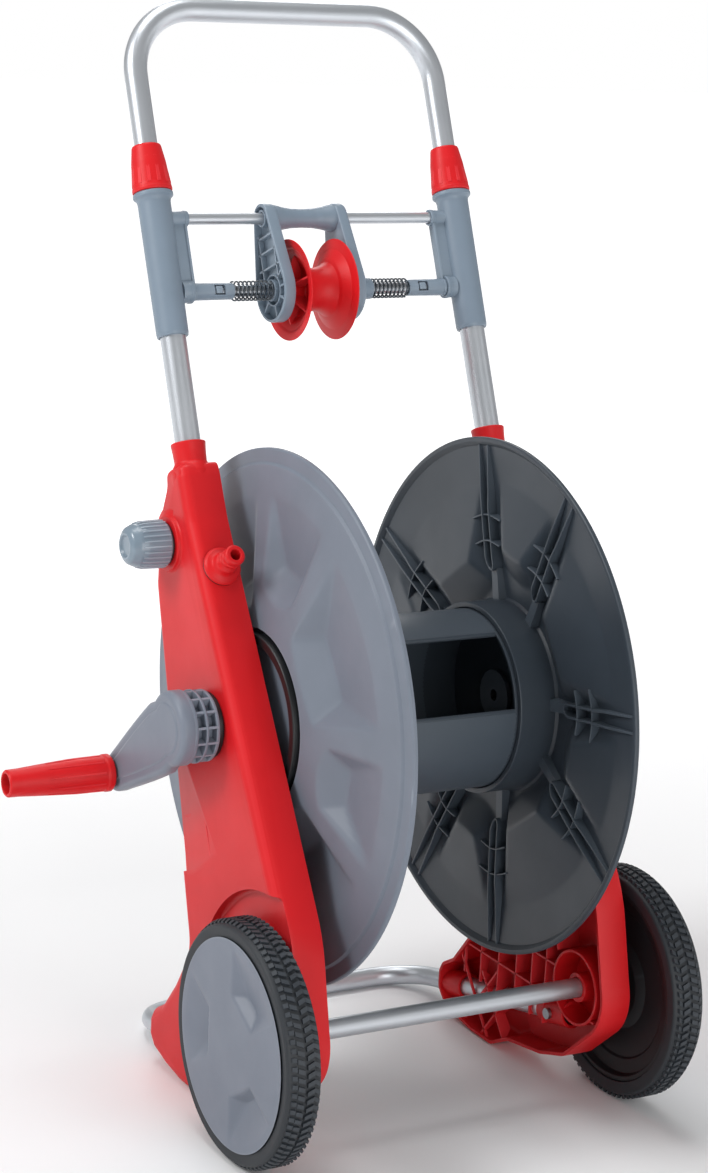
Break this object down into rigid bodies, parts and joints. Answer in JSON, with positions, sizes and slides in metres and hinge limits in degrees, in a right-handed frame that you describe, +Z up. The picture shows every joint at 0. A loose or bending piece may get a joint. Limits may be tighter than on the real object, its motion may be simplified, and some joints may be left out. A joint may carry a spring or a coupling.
{
  "type": "garden hose reel cart",
  "caption": "Two-wheeled garden hose reel cart with a cranked flanged drum, sprung roller hose guide, water inlet, flow knob and telescopic tube handle.",
  "frame": {"origin": "on the ground, under the centre of the bounding box", "axes": "+Z up, +Y to the back where the handle leans and the foot tube rests, -X the crank side"},
  "size_m": [0.4912, 0.4758, 0.886],
  "materials": {
    "red": "moulded red polypropylene, satin gloss",
    "drum_grey": "moulded blue-grey polypropylene, satin",
    "dark_grey": "moulded dark grey polypropylene, satin",
    "arm_grey": "moulded mid grey polypropylene, satin",
    "black": "moulded black acetal, matt",
    "tyre": "moulded solid rubber with tread",
    "tube_steel": "silver-lacquered round steel tube",
    "steel": "zinc-plated steel",
    "hose": "short black rubber hose"
  },
  "bodies": {
    "frame": {"axle_tube": "tube_steel", "axle_washer_left": "steel", "axle_washer_right": "steel", "bracket_left": "dark_grey", "bracket_right": "dark_grey", "collet_left": "black", "collet_right": "black", "crank_bush": "black", "drum_bush": "black", "feed_hose": "hose", "foot_screw_left": "steel", "foot_screw_right": "steel", "foot_tube": "tube_steel", "guide_rod": "tube_steel", "guide_spring_left": "steel", "guide_spring_right": "steel", "inlet_hose": "hose", "inlet_seal": "black", "inlet_spigot": "red", "knob_seal": "black", "left_side_frame": "red", "lower_tube_left": "tube_steel", "lower_tube_right": "tube_steel", "right_side_frame": "red", "spindle_rod": "steel", "spindle_sleeve_left": "dark_grey", "spindle_sleeve_right": "dark_grey", "valve_body": "dark_grey", "water_swivel": "dark_grey"},
    "reel": {"drum_disc_left": "drum_grey", "drum_disc_right": "drum_grey", "drum_barrel": "drum_grey", "crank_shaft": "steel", "shaft_nut": "steel", "stub_shaft": "steel", "hub_ring_left": "black", "hub_ring_right": "black", "outlet_elbow": "dark_grey", "hose_connector": "dark_grey", "crank_arm": "arm_grey", "crank_screw": "steel", "grip_pin": "steel"},
    "crank_grip_body": {"crank_grip": "red"},
    "wheel_left": {"tyre_left": "tyre", "wheel_rim_left": "dark_grey", "wheel_cap_left": "arm_grey"},
    "wheel_right": {"tyre_right": "tyre", "wheel_rim_right": "dark_grey", "wheel_cap_right": "arm_grey"},
    "handle": {"handle_tube": "tube_steel"},
    "clamp_left": {"clamp_nut_left": "red"},
    "clamp_right": {"clamp_nut_right": "red"},
    "guide_carriage": {"guide_yoke": "dark_grey"},
    "roller": {"guide_roller": "red"},
    "flow_control": {"flow_knob": "arm_grey", "valve_stem": "steel"}
  },
  "joints": [
    {"name": "reel_spin", "type": "hinge", "parent": "frame", "child": "reel", "pos_m": [0.05135, -0.0179, 0.3239], "axis": [1, 0, 0], "continuous": true},
    {"name": "crank_grip_spin", "type": "hinge", "parent": "reel", "child": "crank_grip_body", "pos_m": [-0.15315, 0.08027, 0.25843], "axis": [-1, 0, 0], "continuous": true},
    {"name": "wheel_left_spin", "type": "hinge", "parent": "frame", "child": "wheel_left", "pos_m": [-0.11215, -0.13648, 0.099], "axis": [1, 0, 0], "continuous": true},
    {"name": "wheel_right_spin", "type": "hinge", "parent": "frame", "child": "wheel_right", "pos_m": [0.21485, -0.13648, 0.099], "axis": [1, 0, 0], "continuous": true},
    {"name": "handle_slide", "type": "slide", "parent": "frame", "child": "handle", "axis": [0, 0.3987, 0.9171], "range_m": [-0.055, 0.1]},
    {"name": "clamp_left_turn", "type": "hinge", "parent": "frame", "child": "clamp_left", "pos_m": [-0.09315, 0.16402, 0.72906], "axis": [0, 0.3987, 0.9171], "range_deg": [0, 180]},
    {"name": "clamp_right_turn", "type": "hinge", "parent": "frame", "child": "clamp_right", "pos_m": [0.19585, 0.16402, 0.72906], "axis": [0, 0.3987, 0.9171], "range_deg": [0, 180]},
    {"name": "guide_slide", "type": "slide", "parent": "frame", "child": "guide_carriage", "axis": [1, 0, 0], "range_m": [-0.014, 0.014], "stiffness_N_per_m": 250, "deforming": ["guide_spring_left", "guide_spring_right"]},
    {"name": "roller_spin", "type": "hinge", "parent": "guide_carriage", "child": "roller", "pos_m": [0.04285, 0.13021, 0.6513], "axis": [1, 0, 0], "continuous": true},
    {"name": "flow_knob_turn", "type": "hinge", "parent": "frame", "child": "flow_control", "pos_m": [-0.11165, 0.06852, 0.45425], "axis": [-1, 0, 0], "range_deg": [0, 270]}
  ]
}
